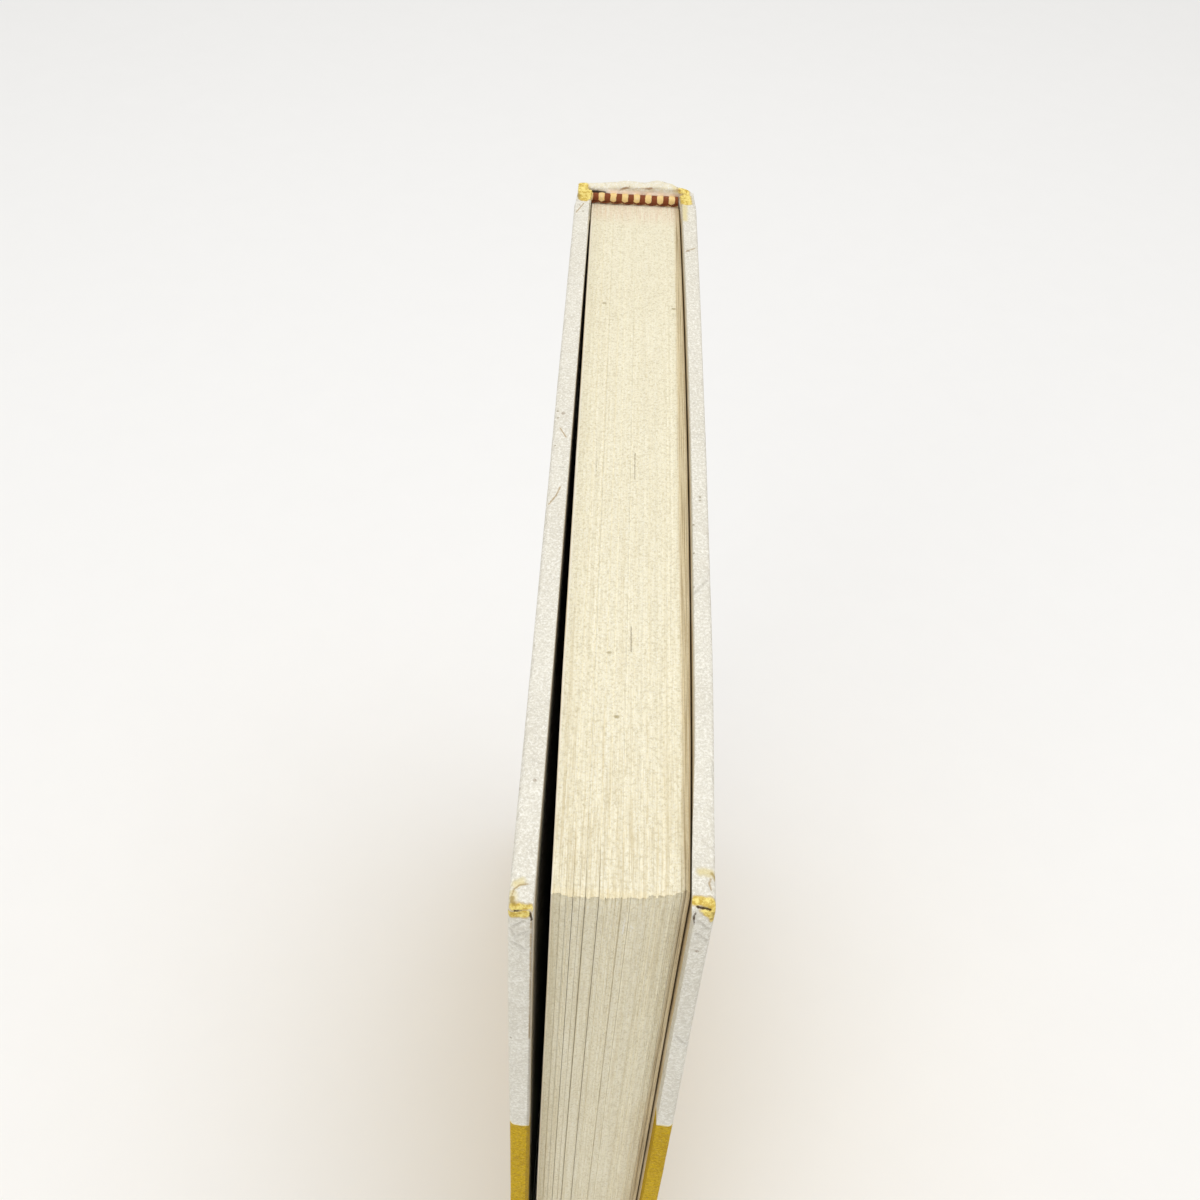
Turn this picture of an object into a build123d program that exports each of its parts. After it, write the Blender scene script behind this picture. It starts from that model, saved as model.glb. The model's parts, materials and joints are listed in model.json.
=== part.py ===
"""Hardcover textbook: sewn pages in a case of two boards and a hollow spine.

The book stands on its tail. X runs through its thickness, from the front cover
to the back cover, Y from the fore-edge to the spine, and Z from tail to head.
Years of reading have set it askew: the front cover has slipped forwards and stands
slightly ajar, and the leaves lean forwards on that side. The back cover is closed.
All sizes are in millimetres.
"""

import os
from math import atan, cos, degrees, hypot, radians, sin, sqrt

from build123d import *

os.makedirs("parts", exist_ok=True)

# Pages: a leaf of six and a half by nine and a quarter inches
page_width = 165.1
page_height = 234.95
pages_thickness = 18.3
section_count = 8
section_roundness = 0.45
section_notch = 0.25
fore_edge_bulge = 0.8
fore_edge_skew = 0.65

# Endpapers, spine cloth and spine lining
flyleaf_thickness = 0.15
pastedown_thickness = 0.15
pastedown_margin = 3.0
lining_thickness = 0.3
lining_margin = 6.0
mull_reach = 25.0
mull_margin = 18.0

# Headbands
stitch_count = 15
band_radius = 1.15
bead_flats = 16
stitch_depth = 0.2
skirt_height = 9.0

# Boards and their covering
board_thickness = 2.4
board_chamfer = 0.3
covering_thickness = 0.3
cover_edge_radius = 0.7
corner_radius = 1.3
turn_in = 15.0
mitre_width = 0.3
mitre_depth = 0.15
head_square = 3.1
fore_edge_square = 2.8

# Spine strip and the hollow behind the pages
strip_thickness = 0.9
spine_bulge = 0.9
hollow_gap = 0.6
shoulder_drop = 0.4
shoulder_radius = 0.8
groove_foot = 1.2
foot_radius = 1.0
fold_end = 2.5
fold_slope = 5.5

# Joints
leaf_gap = 0.3
joint_clearance = 0.3
front_slip = 1.1
ajar_angle = 0.5

# Sizes that follow from them
mull_thickness = covering_thickness
cover_height = page_height + 2 * head_square
cover_thickness = board_thickness + 2 * covering_thickness
pages_half = pages_thickness / 2
flyleaf_face = pages_half + flyleaf_thickness
hinge_x = flyleaf_face + leaf_gap + pastedown_thickness
groove_floor = flyleaf_face + mull_thickness + covering_thickness
spine_half = hinge_x + cover_thickness - shoulder_drop
hollow_front = mull_thickness + lining_thickness
strip_front = hollow_front + hollow_gap + covering_thickness
strip_back = strip_front + strip_thickness
spine_back = strip_back + covering_thickness
joint_reach = hypot(spine_half - hinge_x, spine_back)
cover_depth = page_width + fore_edge_square - joint_reach - joint_clearance
front_end = joint_reach + front_slip + joint_clearance + cover_depth
section_width = pages_thickness / section_count

# The origin lies below the middle of the whole book, with its front cover ajar
ajar = radians(ajar_angle)
hinge_y = (front_end * cos(ajar) - spine_back - spine_bulge) / 2
middle_x = (front_end * sin(ajar) + cover_thickness * (cos(ajar) - 1)) / 2

# Plane at the tail of the covers, on the middle of the pages and on the line of their back
spine_plane = Plane((middle_x, hinge_y, 0))

FRONT = -1
BACK = 1

# Nothing of the spine reaches further than this from the hinge line of each cover
reach = {FRONT: joint_reach + front_slip, BACK: joint_reach}


def finish(piece, name):
    """Name a finished piece and write it."""
    piece.label = name
    export_step(piece, f"parts/{name}.step")


# The pages are one solid: rounded folds at the back, a gently bulged fore-edge, and a fine
# groove at the edges between one section and the next
with BuildPart() as text_block:
    with BuildSketch(spine_plane.offset(head_square)):
        with BuildLine():
            fore_edge = ThreePointArc(
                (-pages_half, fore_edge_bulge - fore_edge_skew - page_width),
                (0, -page_width),
                (pages_half, fore_edge_bulge + fore_edge_skew - page_width),
            )
            last_fold = Line(fore_edge @ 1, (pages_half, -section_roundness))
            for section in range(section_count):
                right = pages_half - section * section_width
                last_fold = ThreePointArc(
                    last_fold @ 1,
                    (right - section_width / 2, 0),
                    (right - section_width, -section_roundness),
                )
            Line(last_fold @ 1, fore_edge @ 0)
        make_face()
        with Locations(*[fore_edge @ (section / section_count) for section in range(1, section_count)]):
            Rectangle(sqrt(2) * section_notch, sqrt(2) * section_notch, rotation=45, mode=Mode.SUBTRACT)
    extrude(amount=page_height)
    with BuildSketch(Plane((middle_x, hinge_y, head_square), x_dir=(1, 0, 0), z_dir=(0, -1, 0))):
        for height in (0, page_height):
            with Locations((0, height)):
                with GridLocations(section_width, 1, section_count - 1, 1):
                    Rectangle(sqrt(2) * section_notch, sqrt(2) * section_notch, rotation=45)
    extrude(amount=page_width, mode=Mode.SUBTRACT)
finish(text_block.part, "text_block")

# A flyleaf lies on each side of the pages
for side, name in ((FRONT, "front_flyleaf"), (BACK, "back_flyleaf")):
    with BuildPart() as flyleaf:
        with BuildSketch(spine_plane.offset(head_square)):
            with Locations((side * (pages_half + flyleaf_face) / 2, -section_roundness)):
                Rectangle(
                    flyleaf_thickness,
                    page_width - fore_edge_bulge - side * fore_edge_skew - section_roundness,
                    align=(Align.CENTER, Align.MAX),
                )
        extrude(amount=page_height)
    finish(flyleaf.part, name)

# Open-weave cloth on the back of the sections, turned forwards into both joints
with BuildPart() as spine_mull:
    with BuildSketch(spine_plane.offset(mull_margin)):
        Rectangle(2 * flyleaf_face, mull_thickness, align=(Align.CENTER, Align.MIN))
        for side, outward in ((FRONT, Align.MAX), (BACK, Align.MIN)):
            with Locations((side * flyleaf_face, mull_thickness)):
                Rectangle(mull_thickness, mull_thickness + reach[side], align=(outward, Align.MAX))
    extrude(amount=cover_height - 2 * mull_margin)
finish(spine_mull.part, "spine_mull")

# Paper lining over the cloth and over the skirts of the headbands
with BuildPart() as spine_lining:
    with BuildSketch(spine_plane.offset(head_square + lining_margin)):
        with Locations((0, mull_thickness)):
            Rectangle(pages_thickness, lining_thickness, align=(Align.CENTER, Align.MIN))
    extrude(amount=page_height - 2 * lining_margin)
finish(spine_lining.part, "spine_lining")

# A headband at each end: a corded bead on a skirt that is glued to the back. The bead swells at each
# stitch and draws in between them, and its round section has a few narrow flats
stitch_width = pages_thickness / stitch_count
stitch_slope = degrees(atan(2 * stitch_depth / stitch_width))
first_stitch = middle_x - pages_half + stitch_width / 2
for page_end, upward, name in (
    (head_square, -1, "tail_band"),
    (head_square + page_height, 1, "head_band"),
):
    bead_y = hinge_y + mull_thickness - band_radius
    bead_z = page_end + upward * band_radius
    stitch_planes = [
        Plane((first_stitch + stitch * stitch_width, bead_y, bead_z), x_dir=(0, 1, 0), z_dir=(1, 0, 0))
        for stitch in range(stitch_count)
    ]
    with BuildPart() as band:
        with BuildSketch(*stitch_planes):
            RegularPolygon(radius=band_radius, side_count=bead_flats)
        extrude(amount=stitch_width / 2, both=True, taper=stitch_slope)
        with BuildSketch(Plane((middle_x, hinge_y, page_end - upward * skirt_height))):
            Rectangle(pages_thickness, mull_thickness, align=(Align.CENTER, Align.MIN))
        extrude(amount=upward * (skirt_height + band_radius))
    finish(band.part, name)

# Outline of the card strip that stiffens the spine, gently rounded at the back
with BuildSketch(spine_plane.offset(covering_thickness)) as strip_outline:
    with BuildLine():
        strip_half = spine_half - covering_thickness
        outer_face = ThreePointArc((-strip_half, strip_back), (0, strip_back + spine_bulge), (strip_half, strip_back))
        inner_face = ThreePointArc((-strip_half, strip_front), (0, strip_front + spine_bulge), (strip_half, strip_front))
        Line(outer_face @ 0, inner_face @ 0)
        Line(outer_face @ 1, inner_face @ 1)
    make_face()
    fillet(strip_outline.vertices(), radius=strip_thickness / 3)

with BuildPart() as spine_strip:
    extrude(strip_outline.sketch, amount=cover_height - 2 * covering_thickness)
finish(spine_strip.part, "spine_strip")

# At the tail and the head the turned-in covering fills the groove of each joint, and slopes down to its floor
with BuildPart() as groove_folds:
    for side, inward in ((FRONT, Align.MAX), (BACK, Align.MIN)):
        with BuildSketch(spine_plane):
            with Locations((side * hinge_x, 0)):
                Circle(reach[side])
            with Locations((side * (groove_floor - covering_thickness), strip_front)):
                Rectangle(
                    spine_half - groove_floor + covering_thickness,
                    strip_front + reach[side],
                    align=(inward, Align.MAX),
                    mode=Mode.INTERSECT,
                )
        extrude(amount=fold_end + fold_slope)
    with BuildSketch(Plane((middle_x, hinge_y + strip_front, 0), x_dir=(1, 0, 0), z_dir=(0, -1, 0))):
        for side in (FRONT, BACK):
            with BuildLine():
                Polyline(
                    (side * spine_half, fold_end),
                    (side * groove_floor, fold_end + fold_slope),
                    (side * spine_half, fold_end + fold_slope),
                    close=True,
                )
            make_face()
    extrude(amount=strip_front + reach[FRONT], mode=Mode.SUBTRACT)
    mirror(about=spine_plane.offset(cover_height / 2))

# The spine's covering runs from one joint over the shoulder, the strip and the other shoulder
# into the other joint, and is turned in over the strip at both ends
with BuildPart() as spine_covering:
    with BuildSketch(spine_plane) as skin:
        with BuildLine():
            back_face = ThreePointArc(
                (-spine_half, spine_back), (0, spine_back + spine_bulge), (spine_half, spine_back)
            )
            for side, start in ((FRONT, back_face @ 0), (BACK, back_face @ 1)):
                Polyline(
                    start,
                    (side * spine_half, strip_front),
                    (side * groove_floor, -groove_foot),
                    (side * groove_floor, -reach[side]),
                )
            Line((-groove_floor, -reach[FRONT]), (groove_floor, -reach[BACK]))
        make_face()
        corners = skin.vertices().sort_by(Axis.Y)
        fillet(corners[2:4], foot_radius)
        fillet(corners[4:], shoulder_radius)
        offset(amount=-covering_thickness, mode=Mode.SUBTRACT)
        with Locations((0, -reach[FRONT])):
            Rectangle(
                2 * (groove_floor - covering_thickness),
                front_slip + 2 * covering_thickness,
                align=(Align.CENTER, Align.MIN),
                mode=Mode.SUBTRACT,
            )
    extrude(amount=cover_height)
    with BuildSketch(spine_plane, spine_plane.offset(cover_height - turn_in)):
        offset(strip_outline.sketch_local, amount=covering_thickness)
    extrude(amount=turn_in)
    add(groove_folds.part)
    add(spine_strip.part, mode=Mode.SUBTRACT)
finish(spine_covering.part, "spine_covering")


def make_cover(side, name, opening):
    """One cover, opened by an angle: board, covering, cloth flap and pastedown.

    The plane stands at the tail end of the hinge line. Its X runs to the fore-edge, and its Y
    runs outwards on the back cover and inwards on the front cover.
    """
    turn = radians(opening)
    plane = Plane(
        (middle_x + side * hinge_x, hinge_y, 0),
        x_dir=(side * sin(turn), -cos(turn), 0),
        z_dir=(0, 0, 1),
    )
    outward = (Align.MIN, Align.MIN) if side == BACK else (Align.MIN, Align.MAX)
    inward = (Align.MIN, Align.MAX) if side == BACK else (Align.MIN, Align.MIN)
    inner_face = Plane(plane.origin, x_dir=plane.x_dir, z_dir=-plane.y_dir)
    across = Axis(plane.origin, plane.y_dir)
    cover_start = reach[side] + joint_clearance
    cover_end = cover_start + cover_depth
    board_start = cover_start + covering_thickness

    with BuildPart() as board:
        with BuildSketch(plane.offset(covering_thickness)):
            with Locations((board_start, side * covering_thickness)):
                Rectangle(cover_depth - 2 * covering_thickness, board_thickness, align=outward)
        extrude(amount=cover_height - 2 * covering_thickness)
        fore_corners = board.edges().filter_by(across).sort_by(Axis(plane.origin, plane.x_dir))[-2:]
        fillet(fore_corners, radius=corner_radius - covering_thickness)
        chamfer(board.edges(), length=board_chamfer)
    finish(board.part, f"{name}_board")

    # The covering wraps all four edges of the board and is turned in on its inner face. A mitred
    # seam runs inwards from the round of each fore-edge corner
    mitre_middle = (corner_radius + turn_in + mitre_width) / 2
    mitre_length = sqrt(2) * (turn_in + mitre_width - corner_radius)
    with BuildPart() as covering:
        with BuildSketch(plane):
            with Locations((cover_start, 0)):
                Rectangle(cover_depth, cover_thickness, align=outward)
        extrude(amount=cover_height)
        fore_corners = covering.edges().filter_by(across).sort_by(Axis(plane.origin, plane.x_dir))[-2:]
        fillet(fore_corners, radius=corner_radius)
        joint_corners = covering.edges().filter_by(across).sort_by(Axis(plane.origin, plane.x_dir))[:2]
        fillet(covering.edges() - joint_corners, radius=cover_edge_radius)
        add(board.part, mode=Mode.SUBTRACT)
        with BuildSketch(plane.offset(turn_in)):
            with Locations((board_start, 0)):
                Rectangle(cover_depth - covering_thickness - turn_in, covering_thickness, align=outward)
        extrude(amount=cover_height - 2 * turn_in, mode=Mode.SUBTRACT)
        with BuildSketch(inner_face):
            for height, tilt in ((mitre_middle, -45), (cover_height - mitre_middle, 45)):
                with Locations((cover_end - mitre_middle, height)):
                    Rectangle(mitre_length, mitre_width, rotation=tilt)
        extrude(amount=-side * mitre_depth, mode=Mode.SUBTRACT)
    finish(covering.part, f"{name}_covering")

    # The spine cloth's flap is glued to the board under the pastedown
    with BuildPart() as flap:
        with BuildSketch(plane.offset(mull_margin)):
            with Locations((board_start, 0)):
                Rectangle(mull_reach, mull_thickness, align=outward)
        extrude(amount=cover_height - 2 * mull_margin)
    finish(flap.part, f"{name}_mull_flap")

    # The pastedown lies on the flap and the turn-ins, and sinks on to the board between them
    sunk_start = board_start + mull_reach
    sunk_depth = cover_end - turn_in - sunk_start
    with BuildPart() as pastedown:
        with BuildSketch(plane.offset(pastedown_margin)):
            with Locations((board_start, 0)):
                Rectangle(cover_depth - covering_thickness - pastedown_margin, pastedown_thickness, align=inward)
        extrude(amount=cover_height - 2 * pastedown_margin)
        with BuildSketch(plane.offset(turn_in)):
            with Locations((sunk_start, 0)):
                Rectangle(sunk_depth, covering_thickness, align=outward)
        extrude(amount=cover_height - 2 * turn_in)
        with BuildSketch(plane.offset(turn_in + pastedown_thickness)):
            with Locations((sunk_start + pastedown_thickness, -side * pastedown_thickness)):
                Rectangle(sunk_depth - 2 * pastedown_thickness, covering_thickness, align=outward)
        extrude(amount=cover_height - 2 * (turn_in + pastedown_thickness), mode=Mode.SUBTRACT)
    finish(pastedown.part, f"{name}_pastedown")


make_cover(FRONT, "front", ajar_angle)
make_cover(BACK, "back", 0)
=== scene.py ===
"""Looks of a worn hardcover textbook that stands on its tail, its front cover slightly ajar.

All pieces are in metres, in the frame of the solids: X runs from the front cover to the back
cover, Y from the fore-edge to the spine, and Z from tail to head. Sizes below are in
millimetres, times MM.
"""

import json
from functools import reduce
from math import cos, pi, radians, sin, tau
from random import Random

import bmesh
import bpy
from mathutils import Matrix, Vector, noise


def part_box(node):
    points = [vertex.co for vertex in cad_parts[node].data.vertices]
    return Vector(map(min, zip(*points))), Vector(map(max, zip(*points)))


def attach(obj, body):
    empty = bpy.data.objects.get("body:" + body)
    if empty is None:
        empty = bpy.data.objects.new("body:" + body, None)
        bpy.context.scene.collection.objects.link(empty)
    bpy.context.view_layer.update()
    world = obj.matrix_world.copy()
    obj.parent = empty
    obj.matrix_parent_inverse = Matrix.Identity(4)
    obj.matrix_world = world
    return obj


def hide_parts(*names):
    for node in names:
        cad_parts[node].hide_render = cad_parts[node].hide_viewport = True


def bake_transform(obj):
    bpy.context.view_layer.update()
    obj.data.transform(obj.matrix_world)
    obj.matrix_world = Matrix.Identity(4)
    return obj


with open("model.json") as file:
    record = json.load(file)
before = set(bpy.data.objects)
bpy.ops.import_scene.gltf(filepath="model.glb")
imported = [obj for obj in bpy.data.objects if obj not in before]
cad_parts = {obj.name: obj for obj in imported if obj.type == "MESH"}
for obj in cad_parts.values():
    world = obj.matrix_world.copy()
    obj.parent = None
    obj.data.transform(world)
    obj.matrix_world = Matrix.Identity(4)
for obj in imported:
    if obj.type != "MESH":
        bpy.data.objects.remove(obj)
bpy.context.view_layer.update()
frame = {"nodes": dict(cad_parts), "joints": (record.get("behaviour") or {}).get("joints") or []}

MM = 0.001
FRONT = -1
BACK = 1
COVERS = {FRONT: "front", BACK: "back"}

# Place, turn and lens of the camera
CAMERA_PLACE = (-6.80 * MM, -174.27 * MM, 392.68 * MM)
CAMERA_PITCH = 0.82187
CAMERA_YAW = 0.02286
CAMERA_ROLL = 0.07173
CAMERA_LENS = 41.33

# The places that the pieces share, read from the solids
pages_low, pages_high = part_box("text_block")
hinge_place = {side: Vector(joint["pos_m"]) for side, joint in zip((FRONT, BACK), frame["joints"])}
opening = {FRONT: radians(-frame["joints"][0]["range_deg"][0]), BACK: 0.0}
middle_x = (pages_low.x + pages_high.x) / 2
hinge_y = hinge_place[BACK].y
head_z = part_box("back_covering")[1].z

# The covering and what it wraps
BOARD_WRAP = 0.3 * MM
EDGE_ROUND = 0.7 * MM
CORNER_ROUND = 1.3 * MM
TURN_IN = 15.0 * MM
YELLOW_DEPTH = 67.0 * MM

# Where the covers stand past the leaves, at the head and at the fore-edge, in millimetres
PAST_HEAD = 238.3
PAST_FORE_EDGE = -83.0

# The wall beside each joint: half the book's width there, outside and inside, and how far the
# spine's paper runs on past the hinge line to its seam
GROOVE = 9.9 * MM
INNER_WALL = 9.62 * MM
SEAM = 0.4 * MM


def smooth(t):
    """0 up to t = 0, 1 from t = 1, and a smooth step between."""
    t = min(max(t, 0.0), 1.0)
    return t * t * (3 - 2 * t)


def bowed(point, cover=False):
    """Where a place on the plain form lies on the worn book, whose covers and leaves have warped."""
    x, y, z = point[0] / MM - middle_x / MM, point[1] / MM, point[2] / MM
    depth = y / 85
    if x > 0:
        curl = 0.45 * smooth((-55 - y) / 25) * smooth((z - 237) / 4)
        inner = (0.3 - 0.75 * depth * depth - curl) * smooth((z - 110) / 125)
        inner -= 0.12 * smooth(z - PAST_HEAD)
        outer = -(0.2 + 0.35 * depth * depth + 0.4 * smooth((-40 - y) / 45))
        outer *= (0.35 + 0.65 * smooth((z - 140) / 100)) * smooth(z / 60)
        start = smooth((x - 6) / 3.1)
    else:
        low = smooth((225 - z) / 90) * smooth(z / 60) * smooth(-y / 85)
        if cover:
            # Only the lips past the leaves lean in, so the cover still closes on them
            past_leaves = max(smooth(z - PAST_HEAD), smooth(PAST_FORE_EDGE - y))
            inner = (0.2 + 0.15 * smooth(-y / 60) + 0.4 * low) * past_leaves
            outer = 0.45 * low
            start = smooth((77 - y) / 20)
        else:
            inner = outer = 0.3 * smooth((-40 - y) / 45) * smooth(z / 60) - 0.22 * low
            start = smooth(-x / 9)
    layer = min(max((abs(x) - 9.75) / 3, 0.0), 1.0)
    shift = (inner + (outer - inner) * layer) * start
    return Vector((point[0] + shift * MM, point[1], point[2]))


def srgb(red, green, blue):
    """A colour given as 0 to 255, in the linear values that shaders use."""
    return tuple(
        value / 12.92 if value <= 0.04045 else ((value + 0.055) / 1.055) ** 2.4
        for value in (red / 255, green / 255, blue / 255)
    ) + (1.0,)


class Value:
    """A number's socket in a material. An expression of such values adds Math nodes."""

    def __init__(self, finish, socket):
        self.finish = finish
        self.socket = socket

    def math(self, operation, *others, clamp=False):
        settings = {"operation": operation, "use_clamp": clamp}
        return self.finish.node("ShaderNodeMath", settings, (self, *others))

    def __add__(self, other):
        return self.math("ADD", other)

    def __mul__(self, other):
        return self.math("MULTIPLY", other)

    def __sub__(self, other):
        return self.math("SUBTRACT", other)

    def __truediv__(self, other):
        return self.math("DIVIDE", other)

    def __rsub__(self, other):
        return self.finish.node("ShaderNodeMath", {"operation": "SUBTRACT"}, (other, self))

    __radd__ = __add__
    __rmul__ = __mul__

    def between(self, low, high):
        """0 below low and 1 above high, or the other way round, with a smooth step between."""
        sockets = {"Value": self, "From Min": low, "From Max": high}
        return self.finish.node("ShaderNodeMapRange", {"interpolation_type": "SMOOTHSTEP"}, sockets)

    def band(self, middle, half, soft):
        """1 within half of the middle, and 0 from there on after a soft step."""
        return (self - middle).math("ABSOLUTE").between(half + soft, half - soft)

    def clamped(self):
        return self.math("ADD", 0.0, clamp=True)

    def at_most(self, other):
        return self.math("MINIMUM", other)

    def at_least(self, other):
        return self.math("MAXIMUM", other)


class Finish:
    """A node material under construction."""

    def __init__(self, name, roughness=0.6, specular=0.4):
        self.material = bpy.data.materials.new(name)
        self.material.use_nodes = True
        self.tree = self.material.node_tree
        self.shader = self.tree.nodes["Principled BSDF"]
        self.shader.inputs["Roughness"].default_value = roughness
        self.shader.inputs["Specular IOR Level"].default_value = specular

    def node(self, kind, settings=None, sockets=(), output=0):
        """Add a node, set it, and fill its sockets with values or with other nodes' results."""
        made = self.tree.nodes.new(kind)
        for key, setting in (settings or {}).items():
            setattr(made, key, setting)
        items = sockets.items() if isinstance(sockets, dict) else enumerate(sockets)
        for key, value in items:
            if isinstance(value, Value):
                self.tree.links.new(value.socket, made.inputs[key])
            else:
                made.inputs[key].default_value = value
        return Value(self, made.outputs[output])

    def place(self):
        """The three coordinates in the frame, in millimetres, at rest and at any pose."""
        point = self.node("ShaderNodeAttribute", {"attribute_name": "place"}, output="Vector")
        split = self.tree.nodes.new("ShaderNodeSeparateXYZ")
        self.tree.links.new(point.socket, split.inputs[0])
        return point, *(Value(self, split.outputs[axis]) for axis in "XYZ")

    def vector(self, operation, *sockets, output=0):
        """Vector maths on sockets, given in their order or as one table of names."""
        sockets = sockets[0] if isinstance(sockets[0], dict) else sockets
        return self.node("ShaderNodeVectorMath", {"operation": operation}, sockets, output)

    def noise(self, point, scale, detail=3.0, rough=0.5, distortion=0.0):
        sockets = {"Vector": point, "Scale": scale, "Detail": detail, "Roughness": rough}
        return self.node("ShaderNodeTexNoise", {}, {**sockets, "Distortion": distortion})

    def specks(self, point, scale, size, share):
        """Small irregular specks: 1 inside the cells' middles for a share of the cells."""
        cells = {"Vector": point, "Scale": scale, "Randomness": 1.0}
        near = self.node("ShaderNodeTexVoronoi", {"feature": "F1"}, cells)
        tint = self.node("ShaderNodeTexVoronoi", {"feature": "F1"}, cells, output="Color")
        pick = self.node("ShaderNodeSeparateColor", {}, (tint,))
        return near.between(size, size * 0.6) * pick.between(1.0 - share, 1.0 - share * 0.9)

    def ragged(self, point, scale, amount):
        """The place, moved about by noise, so that what is drawn with it gets a torn outline."""
        torn = {"Vector": point, "Scale": scale, "Detail": 3.0}
        torn = self.node("ShaderNodeTexNoise", {}, torn, output="Color")
        centred = self.vector("SUBTRACT", torn, (0.5, 0.5, 0.5))
        return self.vector("ADD", point, self.vector("SCALE", {"Vector": centred, "Scale": amount}))

    def near_lines(self, point, lines):
        """The distance in millimetres to the nearest of these lines, each a row of places."""
        gaps = []
        for line in lines:
            for start, end in zip(line, line[1:]):
                toward = Vector(end) - Vector(start)
                offset = self.vector("SUBTRACT", point, start)
                share = self.vector("DOT_PRODUCT", offset, toward, output="Value")
                share = (share / toward.length_squared).clamped()
                step = self.vector("SCALE", {"Vector": toward, "Scale": share})
                gaps.append(self.vector("DISTANCE", offset, step, output="Value"))
        return reduce(Value.at_most, gaps)

    def near_points(self, point, places):
        """The distance in millimetres to the nearest of these places."""
        gaps = [self.vector("DISTANCE", point, place, output="Value") for place in places]
        return reduce(Value.at_most, gaps)

    def strokes(self, point, lines, half, soft):
        """1 within half of any of these lines, and 0 from there on after a soft step."""
        return self.near_lines(point, lines).between(half + soft, half)

    def mix(self, factor, first, second, blend="MIX"):
        made = self.tree.nodes.new("ShaderNodeMix")
        made.data_type = "RGBA"
        made.blend_type = blend
        for key, value in ((0, factor), (6, first), (7, second)):
            if isinstance(value, Value):
                self.tree.links.new(value.socket, made.inputs[key])
            else:
                made.inputs[key].default_value = value
        return Value(self, made.outputs[2])

    def coats(self, colour, *coats):
        """A colour under coats that each cover a share of it, in a tint given as 0 to 255."""
        for share, *tint in coats:
            colour = self.mix(share, colour, srgb(*tint))
        return colour

    def feed(self, socket, value):
        self.tree.links.new(value.socket, self.shader.inputs[socket])

    def finished(self, colour, height, distance, strength):
        """The material with this colour, and raised by the height times the distance in metres."""
        sockets = {"Height": height, "Distance": distance, "Strength": strength}
        self.feed("Base Color", colour)
        self.feed("Normal", self.node("ShaderNodeBump", {}, sockets))
        return self.material


def wobble(x, y=0.0, z=0.0, seed=0.0):
    """Smooth noise from -1 to 1."""
    return noise.noise(Vector((x + seed * 17.3, y - seed * 5.1, z + seed * 9.7)))


def ring_faces(columns, rows, closed_columns=False, closed_rows=False):
    """Quads of a grid of points, numbered column by column."""
    faces = []
    for column in range(columns if closed_columns else columns - 1):
        beside = (column + 1) % columns
        for row in range(rows if closed_rows else rows - 1):
            above = (row + 1) % rows
            faces.append((
                column * rows + row, beside * rows + row, beside * rows + above, column * rows + above
            ))
    return faces


def arc(steps, turn=pi / 2, closed=True):
    """The sine and cosine at even steps of a turn, with or without its end."""
    return [(sin(step / steps * turn), cos(step / steps * turn)) for step in range(steps + closed)]


def blended(first, second, share):
    """The place at a share of the way from the first to the second."""
    return [a + (b - a) * share for a, b in zip(first, second)]


def placed(name, data):
    """A new object with this data, in the scene."""
    made = bpy.data.objects.new(name, data)
    bpy.context.scene.collection.objects.link(made)
    return made


def dressed(mesh, work, material, body):
    """The piece that the work makes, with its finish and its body.

    Each point keeps its place at rest for the material to read, in millimetres.
    """
    work.to_mesh(mesh)
    work.free()
    mesh.materials.append(material)
    kept = mesh.attributes.new("place", "FLOAT_VECTOR", "POINT")
    for item, vertex in zip(kept.data, mesh.vertices):
        item.vector = vertex.co / MM
    piece = placed(mesh.name, mesh)
    if body:
        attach(piece, body)
    return piece


def make_piece(name, points, faces, material, body, slot, smooth_shaded=True, sharp=None):
    """A piece of these points and faces, cleaned up, with edges sharp from an angle in degrees."""
    mesh = bpy.data.meshes.new(name)
    mesh.from_pydata([tuple(point) for point in points], [], faces)
    work = bmesh.new()
    work.from_mesh(mesh)
    bmesh.ops.remove_doubles(work, verts=work.verts, dist=0.002 * MM)
    bmesh.ops.dissolve_degenerate(work, edges=work.edges, dist=0.001 * MM)
    bmesh.ops.recalc_face_normals(work, faces=work.faces)
    for face in work.faces:
        face.smooth = smooth_shaded
    if sharp:
        limit = radians(sharp)
        for edge in work.edges:
            edge.smooth = len(edge.link_faces) == 2 and edge.calc_face_angle() < limit
    return dressed(mesh, work, material, body)


def make_bar(name, loops, material, body, slot, **shading):
    """A closed piece through a row of loops of points, with both ends capped."""
    columns, rows = len(loops), len(loops[0])
    faces = ring_faces(columns, rows, closed_rows=True)
    faces += [tuple(range(rows)), tuple(range((columns - 1) * rows, columns * rows))]
    points = [point for loop in loops for point in loop]
    return make_piece(name, points, faces, material, body, slot, **shading)


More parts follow.
